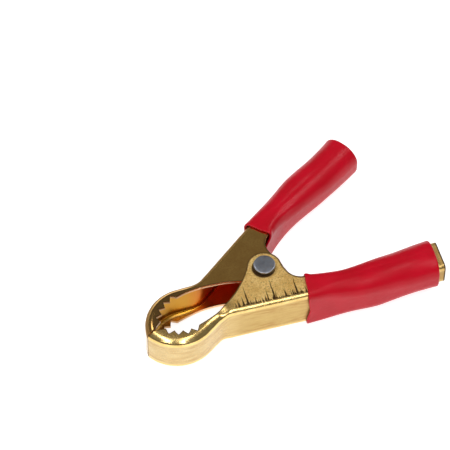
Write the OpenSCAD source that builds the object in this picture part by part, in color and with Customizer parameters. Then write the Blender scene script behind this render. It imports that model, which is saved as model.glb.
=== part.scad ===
// Alligator clip for battery and charger leads: two pressed brass-plated levers on a
// rivet, held shut by a torsion spring, with a soft PVC grip on each handle.
// +X runs from the jaws to the handles, +Z along the rivet, and the clip lies on its side.
// Inside the modules the rivet's axis is the origin, and z = 0 is halfway up the rivet.

/* [Sheet metal] */
// Thickness of the pressed sheet
sheet_t = 0.85; // [0.7:0.05:1]
// Outside height of the channel at the jaws
jaw_height = 11.6; // [11:0.1:12.4]
// Gap between the cheeks of the two levers at the rivet
cheek_gap = 0.05; // [0.03:0.01:0.1]

/* [Jaws] */
// Distance from the rivet's axis to the tip of the jaws
jaw_reach = 38.2; // [37:0.1:39]
// Radius of the rounded nose, seen from the side
nose_radius = 11.6; // [11:0.1:12]
// Gap left between the two tips when the clip is shut
tip_gap = 0.24; // [0.1:0.02:0.4]
// Slope of the nose down to the waist, in degrees
nose_taper = 16; // [14:1:18]
// Number of V notches in each cheek
notch_count = 4; // [3:1:5]
// Depth of each notch
notch_depth = 1.3; // [0.8:0.1:1.5]

/* [Pivot] */
// Diameter of the rivet's shank
rivet_d = 3.6; // [3:0.1:4]
// Diameter of the rivet's flat head
rivet_head_d = 6; // [5.4:0.1:6.6]
// Height of the rivet's head
rivet_head_h = 1.4; // [0.9:0.05:1.6]
// Height of its rolled tail
rivet_tail_h = 0.9; // [0.8:0.05:0.9]
// Radial clearance of the inner lever on the rivet
pivot_clearance = 0.05; // [0.03:0.01:0.08]
// Radius of the ears round the rivet
ear_radius = 4.75; // [4.5:0.05:5]

/* [Handles] */
// Slope of the straight back between waist and grip, in degrees
shank_angle = 19.5; // [19:0.5:20]
// Slope of the handle under the grip, in degrees
handle_angle = 18; // [17.5:0.5:18.5]
// Length of each handle from the start of the grip
handle_length = 39; // [37:0.5:41]
// Depth of the handle's channel at the start of the grip
root_depth = 6.5; // [6.3:0.1:6.7]
// Depth of the handle's channel at its end
end_depth = 9.2; // [8.8:0.1:9.4]
// Height of the handle's channel at its end
end_height = 7.6; // [7.4:0.1:8.2]
// Slot left between the lips that close the end of the channel
lip_slot = 4.4; // [4.2:0.2:5]

/* [Grips] */
// Wall of the PVC grip
grip_wall = 0.6; // [0.5:0.05:0.8]
// Metal left bare at the end of the outer lever's handle
outer_bare_end = 1.8; // [1:0.1:2.5]
// Metal left bare at the end of the inner lever's handle
inner_bare_end = 0.6; // [0.4:0.1:1]
// Width of the grip at its end
grip_end_width = 11.4; // [11.2:0.1:11.8]
// Height of the grip at its end
grip_end_height = 12; // [11.8:0.1:12.4]

/* [Spring] */
// Wire of the torsion spring
wire_d = 1.4; // [1.2:0.1:1.4]
// Mean diameter of the coil
coil_d = 6.1; // [5.8:0.1:6.2]
// Rise of the coil from turn to turn
coil_pitch = 1.5; // [1.45:0.05:1.6]

/* [Cable terminal] */
// Thread diameter of the cable screw
screw_d = 4; // [3.5:0.5:4]
// Diameter of its pan head
screw_head_d = 7; // [6.5:0.1:7.4]
// Height of its pan head
screw_head_h = 2.2; // [1.8:0.1:2.4]
// Side of the square clamping washer
washer_side = 7; // [6.8:0.1:7.2]
// Thickness of that washer
washer_t = 1; // [0.8:0.1:1.2]
// Place of the screw along the handle, from the start of the grip
screw_place = 13; // [12:0.5:13.5]

/* [Hidden] */

eps = 0.02;
big = 120;                              // longer than the clip, for cutting
spread = sheet_t + cheek_gap;           // each outer cheek stands this far outside the inner one
outer_half = jaw_height / 2 + spread;   // half height of the outer lever at the rivet
inner_half = jaw_height / 2;            // half height of the inner lever
end_half = end_height / 2;

// Centre of the nose arc, from the tip and the nose's highest point.
nose_top = 8.8;
nose_centre = [nose_radius - jaw_reach - 0.3, nose_top - nose_radius];
// Corner where the slope behind the nose would meet the straight back, and the round between them.
shank_point = [3.5, 14.1];
waist_radius = 6;
// The joggle that spreads the outer lever's cheeks runs between these two stations.
joggle = [-19, -15.5];
// Arc that carries the points of the teeth, and the angles of its first and last tooth.
tooth_centre = [-25.3, -4.1];
tooth_radius = 9.5;
tooth_angles = [145, 89];
// End of the flat bite at the tip, where the two jaws meet.
bite_end = [-35.2, 0.4];
// Where the ear turns into the mouth's edge, as an angle round the rivet.
ear_mouth_angle = -143;
// Saddle between ear and handle.
saddle_x = 4.35;
saddle_radius = 4.4;

// The handle grows from root_depth to end_depth between these two stations.
depth_taper = [3, 38];
height_taper = [0, 26];
lip_start = 26;
handle_steps = 12;

// Grip corners, and where its section turns from tight to round. Its height first
// follows the metal down by grip_sink, then comes back to the height of its end.
grip_corner = [2.4, 4.3];
grip_taper = [2, 32];
grip_waist_x = 18;
grip_sink = 0.75;
grip_slack = 0.05;
grip_rings = 14;
grip_corner_points = 8;

// Spring legs: they leave the coil at leg_angle and end flat along the handles' backs.
leg_angle = 50;
leg_bend_radius = 4;
leg_tail = 4;
leg_clearance = 0.15;
spring_turns = 4;
rings_per_turn = 18;
wire_sides = 8;

// Collar drawn up from the sheet to carry the screw's thread.
collar_r = 2.7;
collar_h = 1.1;

round_fn = 64;

// Bounding box of the whole clip, which places the origin under its middle.
handle_root = [5, shank_point.y + (5 - shank_point.x) * tan(shank_angle)];
box_front = nose_centre.x - sqrt(pow(nose_radius, 2) - pow(nose_centre.y - tip_gap / 2, 2));
box_back = handle_point(handle_length, end_depth).x;
lift = outer_half + max(rivet_tail_h, grip_wall);

// ---- plane geometry -------------------------------------------------------------------

function heading(a) = [cos(a), sin(a)];
function left_of(a) = [-sin(a), cos(a)];
function cross2(a, b) = a.x * b.y - a.y * b.x;
function meet(p, a, q, b) =
    p + heading(a) * cross2(q - p, heading(b)) / cross2(heading(a), heading(b));
function arc(centre, r, from, to, steps) =
    [for (i = [0 : steps]) centre + r * heading(from + (to - from) * i / steps)];
function bezier(p, steps) = [
    for (i = [0 : steps])
        let (t = i / steps, s = 1 - t)
            s * s * s * p[0] + 3 * s * s * t * p[1] + 3 * s * t * t * p[2] + t * t * t * p[3]
];
function clamp01(t) = max(0, min(1, t));
function smooth(t) = let (c = clamp01(t)) c * c * (3 - 2 * c);
function ramp(x, stations, values) =
    values[0] + (values[1] - values[0]) * smooth((x - stations[0]) / (stations[1] - stations[0]));
function backwards(list) = [for (i = [len(list) - 1 : -1 : 0]) list[i]];

// A point of the handle: x along its back from the start of the grip, y in from the back.
function handle_point(x, y) =
    handle_root + x * heading(handle_angle) - y * left_of(handle_angle);
function handle_depth(x) = ramp(x, depth_taper, [root_depth, end_depth]);

// ---- outline of one lever, drawn for the lever whose handle is on the +Y side ----------

// The back of the lever from tip to handle end, set in by inset.
function back_line(inset, tip_angle) =
    let (
        nose = arc(nose_centre, nose_radius - inset, tip_angle, 90 - nose_taper, 18),
        slope_point = nose[len(nose) - 1],
        straight_point = shank_point - inset * left_of(shank_angle),
        corner = meet(slope_point, -nose_taper, straight_point, shank_angle),
        r = waist_radius + inset,
        tangent = r * tan((nose_taper + shank_angle) / 2),
        waist_centre = corner - tangent * heading(-nose_taper) + r * left_of(-nose_taper),
        waist = arc(waist_centre, r, -90 - nose_taper, shank_angle - 90, 8)
    )
    concat(nose, waist, [handle_point(0, inset)]);

function tip_angle_at(y) = 180 - asin((y - nose_centre.y) / nose_radius);

function teeth() =
    let (step = (tooth_angles[1] - tooth_angles[0]) / notch_count)
    [
        for (i = [0 : 2 * notch_count])
            tooth_centre + (tooth_radius + (i % 2) * notch_depth)
                * heading(tooth_angles[0] + step * i / 2)
    ];

function mouth_edge() =
    let (last_tooth = tooth_centre + tooth_radius * heading(tooth_angles[1]))
    bezier([last_tooth, [-16, 5.4], [-8.5, 1.8], ear_radius * heading(ear_mouth_angle)], 14);

function ear_arc() =
    arc([0, 0], ear_radius, ear_mouth_angle, acos(saddle_x / ear_radius), 20);

function saddle_arc() =
    let (
        edge = handle_point(0, root_depth),
        touch_x = saddle_x + saddle_radius * (1 - sin(handle_angle)),
        touch_y = edge.y + (touch_x - edge.x) * tan(handle_angle),
        centre = [saddle_x + saddle_radius, touch_y - saddle_radius * cos(handle_angle)]
    )
    arc(centre, saddle_radius, 180, 90 + handle_angle, 8);

function handle_edge() = [
    for (i = [0 : handle_steps])
        let (x = depth_taper[0] + (depth_taper[1] - depth_taper[0]) * i / handle_steps)
            handle_point(x, handle_depth(x))
];

function lever_outline() = concat(
    back_line(0, tip_angle_at(tip_gap / 2)),
    [handle_point(handle_length, 0), handle_point(handle_length, end_depth)],
    backwards(handle_edge()),
    backwards(saddle_arc()),
    backwards(ear_arc()),
    backwards(mouth_edge()),
    backwards(teeth()),
    [bite_end]
);

// Everything inside the back, open towards the other lever but for the lips at the handle's end.
function hollow_outline() = concat(
    back_line(sheet_t, 172),
    [
        handle_point(handle_length + 1, sheet_t),
        handle_point(handle_length + 1, end_depth - sheet_t),
        handle_point(lip_start, end_depth - sheet_t),
        handle_point(lip_start, big),
        [-big, -big]
    ]
);

// ---- the two pressed levers ------------------------------------------------------------

// Half height of a lever at station x, where half is its half height at the rivet.
function lever_half(x, half) =
    x < 0
        ? ramp(x, joggle, [jaw_height / 2, half])
        : ramp((x - handle_root.x) / cos(handle_angle), height_taper, [half, end_half]);

// Heights of the lever along X: a shape in X and Z that the outline is cut with.
module side_shape(half, inset) {
    stations = concat(
        [-big / 2],
        [for (i = [0 : 6]) joggle[0] + (joggle[1] - joggle[0]) * i / 6],
        [for (i = [0 : 10])
            handle_root.x + cos(handle_angle) * height_taper[1] * i / 10],
        [big / 2]
    );
    upper = [for (x = stations) [x, lever_half(x, half) - inset]];
    lower = [for (p = backwards(upper)) [p.x, -p.y]];
    rotate([90, 0, 0])
        linear_extrude(big, center = true)
            polygon(concat(upper, lower));
}

module plan_shape(points) {
    linear_extrude(3 * jaw_height, center = true)
        polygon(points);
}

// The slot between the lips, along the inner side of the handle's end.
module lip_opening() {
    along_handle(lip_start - 1, 0)
        translate([0, -end_depth - 1, -lip_slot / 2])
            cube([handle_length - lip_start + 3, 3, lip_slot]);
}

// Moves children to the handle: x along its back, y = 0 at its outer face, -y inwards.
module along_handle(x, y) {
    translate([handle_root.x, handle_root.y, 0])
        rotate(handle_angle)
            translate([x, -y, 0])
                children();
}

module pressed_lever(half, bore_r) {
    difference() {
        intersection() {
            plan_shape(lever_outline());
            side_shape(half, 0);
        }
        intersection() {
            plan_shape(hollow_outline());
            side_shape(half, sheet_t);
        }
        lip_opening();
        cylinder(r = bore_r, h = big, center = true, $fn = round_fn);
    }
}

// Axis of the terminal screw, pointing in from the handle's back.
module on_terminal(depth) {
    along_handle(screw_place, depth)
        rotate([90, 0, 0])
            children();
}

module outer_lever() {
    color([0.84, 0.66, 0.32])
        mirror([0, 1, 0])
            difference() {
                union() {
                    pressed_lever(outer_half, rivet_d / 2 + eps);
                    on_terminal(sheet_t - eps)
                        cylinder(r = collar_r, h = collar_h + eps, $fn = round_fn);
                }
                on_terminal(-1)
                    cylinder(d = screw_d + 2 * eps, h = 6, $fn = round_fn);
            }
}

module inner_lever() {
    color([0.84, 0.66, 0.32])
        pressed_lever(inner_half, rivet_d / 2 + pivot_clearance);
}

// ---- rivet -----------------------------------------------------------------------------

// Semi-tubular rivet: slightly domed head on top, tail rolled outwards round its hollow below.
module pivot_rivet() {
    head_r = rivet_head_d / 2;
    tail_r = head_r - 0.2;
    hollow_r = 1.1;
    hollow_depth = 3;
    edge = 0.3;
    roll = rivet_tail_h / 2;
    color([0.62, 0.64, 0.68])
        rotate_extrude($fn = round_fn)
            polygon(concat(
                [[0, outer_half + rivet_head_h], [head_r - edge, outer_half + rivet_head_h]],
                arc([head_r - edge, outer_half + rivet_head_h - edge], edge, 75, 0, 4),
                [[head_r, outer_half], [rivet_d / 2, outer_half], [rivet_d / 2, -outer_half]],
                arc([tail_r - roll, -outer_half - roll], roll, 90, -90, 8),
                arc([hollow_r + roll, -outer_half - roll], roll, -90, -180, 4),
                [[hollow_r, hollow_depth - outer_half], [0, hollow_depth - outer_half + 0.6]]
            ));
}

// ---- torsion spring --------------------------------------------------------------------

// Half of the leg's route in plan, from the coil to its end along the inner lever's back.
function leg_route() =
    let (
        start = coil_d / 2 * heading(leg_angle + 90),
        tail_offset = sheet_t + wire_d / 2 + leg_clearance,
        tail_point = shank_point - tail_offset * left_of(shank_angle),
        corner = meet(start, leg_angle, tail_point, shank_angle),
        turn = leg_angle - shank_angle,
        tangent = leg_bend_radius * tan(turn / 2),
        centre = corner - tangent * heading(leg_angle) - leg_bend_radius * left_of(leg_angle),
        bend = arc(centre, leg_bend_radius, leg_angle + 90, shank_angle + 90, 6)
    )
    concat(
        [start + (corner - start) * 0.35, start + (corner - start) * 0.7],
        bend,
        [bend[len(bend) - 1] + leg_tail * heading(shank_angle)]
    );

// The wire's centre line: lower leg, coil winding clockwise upwards, upper leg.
function spring_route() =
    let (
        sweep = 360 * spring_turns + 2 * (180 - leg_angle - 90),
        rise = coil_pitch * sweep / 360,
        steps = round(rings_per_turn * sweep / 360),
        upper = leg_route(),
        lower = [for (p = backwards(upper)) [p.x, -p.y, -rise / 2]],
        coil = [
            for (i = [0 : steps])
                let (a = -leg_angle - 90 - sweep * i / steps)
                    [coil_d / 2 * cos(a), coil_d / 2 * sin(a), rise * (i / steps - 0.5)]
        ]
    )
    concat(lower, coil, [for (p = upper) [p.x, p.y, rise / 2]]);

function unit(v) = v / norm(v);

// One ring of points round the route, square to it, with its first point as high as it goes.
function wire_ring(route, i, r) =
    let (
        ahead = route[min(i + 1, len(route) - 1)],
        behind = route[max(i - 1, 0)],
        along = unit(ahead - behind),
        side = unit(cross(along, [0, 0, 1])),
        up = cross(side, along)
    )
    [
        for (k = [0 : wire_sides - 1])
            let (a = 360 * k / wire_sides)
                route[i] + r * (cos(a) * up + sin(a) * side)
    ];

module swept_wire(route, r) {
    rings = [for (i = [0 : len(route) - 1]) wire_ring(route, i, r)];
    count = len(route);
    polyhedron(
        points = [for (ring = rings) each ring],
        faces = concat(
            [[for (k = [0 : wire_sides - 1]) k]],
            [[for (k = [wire_sides - 1 : -1 : 0]) (count - 1) * wire_sides + k]],
            [
                for (i = [0 : count - 2], k = [0 : wire_sides - 1])
                    let (m = (k + 1) % wire_sides, a = i * wire_sides, b = a + wire_sides)
                        [a + k, b + k, b + m, a + m]
            ]
        )
    );
}

module torsion_spring() {
    color([0.55, 0.56, 0.58])
        swept_wire(spring_route(), wire_d / 2);
}

// ---- grips -----------------------------------------------------------------------------

// A rounded rectangle with half sizes a and b in the handle's Y and Z, centred on depth c.
function grip_ring(x, c, a, b, r) = [
    for (q = [0 : 3], i = [0 : grip_corner_points - 1])
        let (
            t = 90 * (q + i / (grip_corner_points - 1)),
            sy = (q == 0 || q == 3) ? 1 : -1,
            sz = (q < 2) ? 1 : -1
        )
            [x, -c + sy * (a - r) + r * cos(t), sz * (b - r) + r * sin(t)]
];

// The grip follows the metal tightly where it starts and relaxes into a rounder tube.
function grip_section(x, half, inset) =
    let (
        slack = (grip_end_width - end_depth) / 2 - grip_wall,
        a = handle_depth(x) / 2 + grip_wall + ramp(x, grip_taper, [grip_slack, slack]) - inset,
        start_b = half + grip_wall,
        waist_b = start_b - grip_sink,
        b = (x < grip_waist_x
            ? ramp(x, [grip_taper[0], grip_waist_x], [start_b, waist_b])
            : ramp(x, [grip_waist_x, grip_taper[1]], [waist_b, grip_end_height / 2])) - inset,
        r = ramp(x, grip_taper, grip_corner) - 0.8 * inset
    )
    grip_ring(x, handle_depth(x) / 2, a, b, r);

module grip(half, length) {
    n = 4 * grip_corner_points;
    rings = [
        for (i = [0 : grip_rings])
            let (x = length * i / grip_rings)
                concat(grip_section(x, half, 0), grip_section(x, half, grip_wall))
    ];
    // Side quads between ring i and the next, for the outer skin (s = 0) and the bore (s = n).
    function skin(s, i, k) =
        let (m = (k + 1) % n, a = 2 * n * i + s, b = a + 2 * n)
            s == 0 ? [a + k, b + k, b + m, a + m] : [a + m, b + m, b + k, a + k];
    last = 2 * n * grip_rings;
    color([0.78, 0.03, 0.09])
        along_handle(0, 0)
            polyhedron(
                points = [for (ring = rings) each ring],
                faces = concat(
                    [for (i = [0 : grip_rings - 1], k = [0 : n - 1]) skin(0, i, k)],
                    [for (i = [0 : grip_rings - 1], k = [0 : n - 1]) skin(n, i, k)],
                    [for (k = [0 : n - 1]) let (m = (k + 1) % n) [k, m, n + m, n + k]],
                    [for (k = [0 : n - 1]) let (m = (k + 1) % n)
                        [last + n + k, last + n + m, last + m, last + k]]
                )
            );
}

module outer_grip() {
    mirror([0, 1, 0])
        grip(outer_half, handle_length - outer_bare_end);
}

module inner_grip() {
    grip(inner_half, handle_length - inner_bare_end);
}

// ---- cable terminal, inside the outer lever's handle ------------------------------------

module terminal_screw() {
    head_at = sheet_t + collar_h + washer_t;
    color([0.72, 0.73, 0.75])
        mirror([0, 1, 0])
            on_terminal(0.1)
                difference() {
                    union() {
                        cylinder(d = screw_d, h = head_at, $fn = round_fn);
                        translate([0, 0, head_at - 0.1])
                            rotate_extrude($fn = round_fn)
                                polygon(concat(
                                    [[0, 0], [screw_head_d / 2, 0]],
                                    arc([screw_head_d / 2 - 1, screw_head_h - 1], 1, 0, 75, 5),
                                    [[0, screw_head_h]]
                                ));
                    }
                    for (a = [0, 90])
                        rotate(a)
                            translate([-2, -0.45, head_at + screw_head_h - 1.4])
                                cube([4, 0.9, 2]);
                }
}

module clamp_washer() {
    color([0.72, 0.73, 0.75])
        mirror([0, 1, 0])
            on_terminal(sheet_t + collar_h)
                difference() {
                    translate([-washer_side / 2, -washer_side / 2, 0])
                        cube([washer_side, washer_side, washer_t]);
                    cylinder(d = screw_d + 0.4, h = 3 * washer_t, center = true, $fn = round_fn);
                }
}

// ---- the clip --------------------------------------------------------------------------

module placed() {
    translate([-(box_front + box_back) / 2, 0, lift])
        children();
}

placed() outer_lever();
placed() inner_lever();
placed() pivot_rivet();
placed() torsion_spring();
placed() outer_grip();
placed() inner_grip();
placed() terminal_screw();
placed() clamp_washer();
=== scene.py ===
"""Alligator clip: two pressed brass levers on a rivet, their spring and their soft red grips.

Lengths are millimetres in the clip's own frame, as in the CAD model: the rivet's axis is the
origin, +X runs to the handles, and z = 0 is halfway up the rivet. to_row() makes them metres.
"""

import math

import bmesh
import bpy
import numpy as np
from mathutils import Matrix, Vector


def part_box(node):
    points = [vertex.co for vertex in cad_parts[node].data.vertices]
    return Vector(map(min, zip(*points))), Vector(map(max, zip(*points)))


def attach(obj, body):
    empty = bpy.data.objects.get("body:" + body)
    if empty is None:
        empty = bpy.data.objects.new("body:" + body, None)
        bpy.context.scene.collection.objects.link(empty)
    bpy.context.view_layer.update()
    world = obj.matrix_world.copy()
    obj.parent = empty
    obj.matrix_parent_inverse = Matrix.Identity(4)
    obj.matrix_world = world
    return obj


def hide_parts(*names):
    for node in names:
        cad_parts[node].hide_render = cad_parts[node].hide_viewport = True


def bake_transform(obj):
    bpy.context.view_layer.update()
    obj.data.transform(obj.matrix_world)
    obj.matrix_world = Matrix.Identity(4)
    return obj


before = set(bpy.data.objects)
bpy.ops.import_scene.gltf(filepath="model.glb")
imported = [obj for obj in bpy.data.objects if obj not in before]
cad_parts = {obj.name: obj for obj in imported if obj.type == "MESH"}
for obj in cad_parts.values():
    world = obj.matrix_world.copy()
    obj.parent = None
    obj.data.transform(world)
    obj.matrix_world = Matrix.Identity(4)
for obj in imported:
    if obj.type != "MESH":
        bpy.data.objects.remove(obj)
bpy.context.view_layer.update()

# ---- the CAD model's driving sizes ------------------------

SHEET = 0.85
JAW_HALF = 5.8
SPREAD = SHEET + 0.05
INNER_HALF = JAW_HALF
OUTER_HALF = JAW_HALF + SPREAD
END_HALF = 3.8

NOSE_CENTRE = np.array([-26.9, -2.8])
NOSE_RADIUS = 11.6
NOSE_TAPER = 16.0
SHANK_POINT = np.array([3.5, 14.1])
SHANK_ANGLE = 19.5
WAIST_RADIUS = 6.0
JOGGLE = (-19.0, -15.5)

TIP_GAP = 0.24
BITE_END = np.array([-35.2, 0.4])
TOOTH_CENTRE = np.array([-25.3, -4.1])
TOOTH_RADIUS = 9.5
TOOTH_ANGLES = (145.0, 89.0)
NOTCHES = 4
NOTCH_DEPTH = 1.3

MOUTH_CURVE = ((-16.0, 5.4), (-8.5, 1.8))
EAR_RADIUS = 4.75
EAR_MOUTH_ANGLE = -143.0
SADDLE_X = 4.35
SADDLE_RADIUS = 4.4

HANDLE_ANGLE = 18.0
HANDLE_LENGTH = 39.0
HANDLE_ROOT = np.array([5.0, SHANK_POINT[1] + 1.5 * math.tan(math.radians(SHANK_ANGLE))])
ROOT_DEPTH = 6.5
END_DEPTH = 9.2
DEPTH_TAPER = (3.0, 38.0)
HEIGHT_TAPER = (0.0, 26.0)
LIP_START = 26.0
LIP_SLOT = 4.4

RIVET_R = 1.8
HEAD_R = 3.0
HEAD_H = 1.4
TAIL_H = 0.9

WIRE_R = 0.7
COIL_R = 3.05
COIL_PITCH = 1.5
COIL_TURNS = 4
LEG_ANGLE = 50.0
LEG_BEND_R = 4.0
LEG_TAIL = 4.0
LEG_CLEARANCE = 0.15

GRIP_WALL = 0.6
OUTER_BARE_END = 1.8
INNER_BARE_END = 0.6

SCREW_PLACE = 13.0
SCREW_R = 2.0
COLLAR_R = 2.7
COLLAR_H = 1.1

# Radii that only the real sheet has.
SHANK_BEND_R = 1.35
NOSE_BEND_R = 1.15
BEND_TAPER = (-21.0, -11.0)
# The nose's cheeks spring out as they near their teeth, and so do the mouth's edges.
FLARE = 0.75
FLARE_TAPER = (-24.0, -13.5)
FLARE_START = 0.4
FLARE_REACH = 0.95
# Under the soft grip the sheet is a little narrower than at the grip's ends.
HIDDEN_RELIEF = 1.5
RELIEF_START = (0.4, 3.4)
RELIEF_END = (24.0, 33.0)
LIP_R = 1.3
EDGE_BREAK = 0.18


# ---- the clip's place in the row's frame ------------------

def middle(node):
    low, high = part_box(node)
    return (np.array(low) + np.array(high)) / 2


ORIGIN = np.array([*middle("pivot_rivet")[:2], middle("outer_lever")[2]])


def to_row(points):
    return np.asarray(points, float) * 0.001 + ORIGIN


# ---- plane geometry ---------------------------------------

def heading(degrees):
    a = np.radians(degrees)
    return np.stack([np.cos(a), np.sin(a)], axis=-1)


def left_of(degrees):
    a = np.radians(degrees)
    return np.stack([-np.sin(a), np.cos(a)], axis=-1)


def cross2(a, b):
    return a[0] * b[1] - a[1] * b[0]


def meet(p, a, q, b):
    """Where the line through p at heading a crosses the line through q at heading b."""
    return p + heading(a) * cross2(q - p, heading(b)) / cross2(heading(a), heading(b))


def arc(centre, radius, start, end, count):
    return np.asarray(centre) + radius * heading(np.linspace(start, end, count))


def smooth(t):
    c = np.clip(t, 0, 1)
    return c * c * (3 - 2 * c)


def ramp(x, stations, values):
    t = (np.asarray(x, float) - stations[0]) / (stations[1] - stations[0])
    return values[0] + (values[1] - values[0]) * smooth(t)


def handle_point(x, y):
    """x along the handle's back from the start of the grip, y in from the back."""
    x, y = np.asarray(x, float), np.asarray(y, float)
    return (
        HANDLE_ROOT
        + x[..., None] * heading(HANDLE_ANGLE)
        - y[..., None] * left_of(HANDLE_ANGLE)
    )


def handle_depth(x):
    return ramp(x, DEPTH_TAPER, (ROOT_DEPTH, END_DEPTH))


def hidden_relief(x, full_end):
    """How much shallower the hidden sheet is at x, with the bare end at full depth or not."""
    fade = ramp(x, RELIEF_END, (1, 0)) if full_end else 1.0
    return ramp(x, RELIEF_START, (0, HIDDEN_RELIEF)) * fade


def flare(x, depth):
    """How far a jaw's cheek stands out at x and at a depth from its back."""
    past = np.maximum(0, depth - FLARE_START) / FLARE_REACH
    return ramp(x, FLARE_TAPER, (FLARE, 0)) * (1 - np.exp(-(past**2)))


def lever_half(x, half):
    """Half height of a lever at x, where half is its half height at the rivet."""
    handle_x = (np.asarray(x) - HANDLE_ROOT[0]) / math.cos(math.radians(HANDLE_ANGLE))
    return np.where(
        np.asarray(x) < 0,
        ramp(x, JOGGLE, (JAW_HALF, half)),
        ramp(handle_x, HEIGHT_TAPER, (half, END_HALF)),
    )


# ---- outline of a lever, drawn for the one whose handle is on the +Y side ----

def back_curve():
    """Dense points along the lever's back, from beyond the tip to its end, with headings."""
    step, eased = 0.05, 20
    nose_angles = np.arange(173, 90 - NOSE_TAPER, -math.degrees(step / NOSE_RADIUS))
    nose = NOSE_CENTRE + NOSE_RADIUS * heading(nose_angles)
    slope_start = NOSE_CENTRE + NOSE_RADIUS * heading(90 - NOSE_TAPER)
    corner = meet(slope_start, -NOSE_TAPER, SHANK_POINT, SHANK_ANGLE)
    turn = NOSE_TAPER + SHANK_ANGLE
    tangent = WAIST_RADIUS * math.tan(math.radians(turn / 2))
    waist_start = corner - tangent * heading(-NOSE_TAPER)
    waist_centre = waist_start + WAIST_RADIUS * left_of(-NOSE_TAPER)
    waist_headings = np.arange(-NOSE_TAPER, SHANK_ANGLE, math.degrees(step / WAIST_RADIUS))
    waist = waist_centre - WAIST_RADIUS * left_of(waist_headings)
    shank_start = corner + tangent * heading(SHANK_ANGLE)

    def straight(a, b, angle):
        count = max(2, int(np.linalg.norm(b - a) / step))
        t = np.linspace(0, 1, count, endpoint=False)[:, None]
        return a + (b - a) * t, np.full(count, float(angle))

    slope = straight(slope_start, waist_start, -NOSE_TAPER)
    shank = straight(shank_start, HANDLE_ROOT, SHANK_ANGLE)
    end = handle_point(HANDLE_LENGTH, 0.0)
    handle = straight(HANDLE_ROOT, end, HANDLE_ANGLE)
    points = np.vstack([nose, slope[0], waist, shank[0], handle[0], end[None]])
    angles = np.concatenate(
        [nose_angles - 90, slope[1], waist_headings, shank[1], handle[1], [HANDLE_ANGLE]]
    )
    # A pressed bend never starts abruptly, so the heading eases in and out of each arc.
    kernel = np.hanning(2 * eased + 1)
    padded = np.pad(angles, eased, mode="edge")
    return points, np.convolve(padded, kernel / kernel.sum(), mode="valid")


def teeth():
    """The teeth's points and valleys, from the tip's side on."""
    step = (TOOTH_ANGLES[1] - TOOTH_ANGLES[0]) / NOTCHES
    i = np.arange(2 * NOTCHES + 1)
    radius = TOOTH_RADIUS + (i % 2) * NOTCH_DEPTH
    return TOOTH_CENTRE + radius[:, None] * heading(TOOTH_ANGLES[0] + step * i / 2)


def mouth_edge(start):
    """The cheek's edge from the last tooth to the ear, as a cubic curve."""
    p = np.array([start, *MOUTH_CURVE, EAR_RADIUS * heading(EAR_MOUTH_ANGLE)])
    t = np.linspace(0, 1, 44)[:, None]
    s = 1 - t
    return s**3 * p[0] + 3 * s * s * t * p[1] + 3 * s * t * t * p[2] + t**3 * p[3]


def ear_arc():
    end = math.degrees(math.acos(SADDLE_X / EAR_RADIUS))
    return arc([0, 0], EAR_RADIUS, EAR_MOUTH_ANGLE, end, 44)


def saddle_arc():
    edge = handle_point(0.0, ROOT_DEPTH)
    angle = math.radians(HANDLE_ANGLE)
    touch_x = SADDLE_X + SADDLE_RADIUS * (1 - math.sin(angle))
    touch_y = edge[1] + (touch_x - edge[0]) * math.tan(angle)
    centre = [SADDLE_X + SADDLE_RADIUS, touch_y - SADDLE_RADIUS * math.cos(angle)]
    return arc(centre, SADDLE_RADIUS, 180, 90 + HANDLE_ANGLE, 18)


def cheek_edge(full_end):
    """The cheek's free edge from the bite to the handle's end, and which points are corners."""
    tooth = teeth()
    sharp = np.vstack([BITE_END[None], tooth])
    x = np.linspace(1.2, HANDLE_LENGTH, 60)
    smooth_part = np.vstack([
        mouth_edge(tooth[-1])[1:],
        ear_arc()[1:],
        saddle_arc()[1:],
        handle_point(x, handle_depth(x) - hidden_relief(x, full_end)),
    ])
    corner = np.r_[np.ones(len(sharp), bool), np.zeros(len(smooth_part), bool)]
    return np.vstack([sharp, smooth_part]), corner


# ---- meshes -----------------------------------------------

def new_object(name, points, faces, attributes=None):
    mesh = bpy.data.meshes.new(name)
    mesh.from_pydata([tuple(p) for p in to_row(points)], [], faces)
    for key, values in (attributes or {}).items():
        layer = mesh.attributes.new(key, "FLOAT", "POINT")
        layer.data.foreach_set("value", np.asarray(values, np.float32).ravel())
    obj = bpy.data.objects.new(name, mesh)
    bpy.context.scene.collection.objects.link(obj)
    return obj


def ring_faces(rings, points, wrap=False):
    """Quads between rings of points that each close on themselves."""
    faces = []
    for i in range(rings if wrap else rings - 1):
        a, b = i * points, (i + 1) % rings * points
        for k in range(points):
            m = (k + 1) % points
            faces.append((a + k, a + m, b + m, b + k))
    return faces


def edit(obj, change):
    bm = bmesh.new()
    bm.from_mesh(obj.data)
    change(bm)
    bm.to_mesh(obj.data)
    bm.free()


def outward(bm):
    bmesh.ops.recalc_face_normals(bm, faces=bm.faces)


def bake_modifiers(obj):
    """Turns the object's modifiers into its mesh."""
    graph = bpy.context.evaluated_depsgraph_get()
    mesh = bpy.data.meshes.new_from_object(
        obj.evaluated_get(graph), preserve_all_data_layers=True, depsgraph=graph
    )
    obj.modifiers.clear()
    old = obj.data
    obj.data = mesh
    bpy.data.meshes.remove(old)


def cut_with(obj, cutter, operation="DIFFERENCE"):
    modifier = obj.modifiers.new("cut", "BOOLEAN")
    modifier.operation = operation
    modifier.solver = "EXACT"
    modifier.object = cutter
    bake_modifiers(obj)
    bpy.data.objects.remove(cutter)


def shade(obj, angle):
    """Smooth shading, with edges sharper than the angle kept as edges."""
    mesh = obj.data
    mesh.polygons.foreach_set("use_smooth", np.ones(len(mesh.polygons), bool))
    mesh.set_sharp_from_angle(angle=math.radians(angle))


def weigh_normals(obj, weight=50):
    """Lets the large faces decide the shading, so that small rounds don't darken them."""
    normals = obj.modifiers.new("normals", "WEIGHTED_NORMAL")
    normals.keep_sharp = True
    normals.weight = weight


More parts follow.
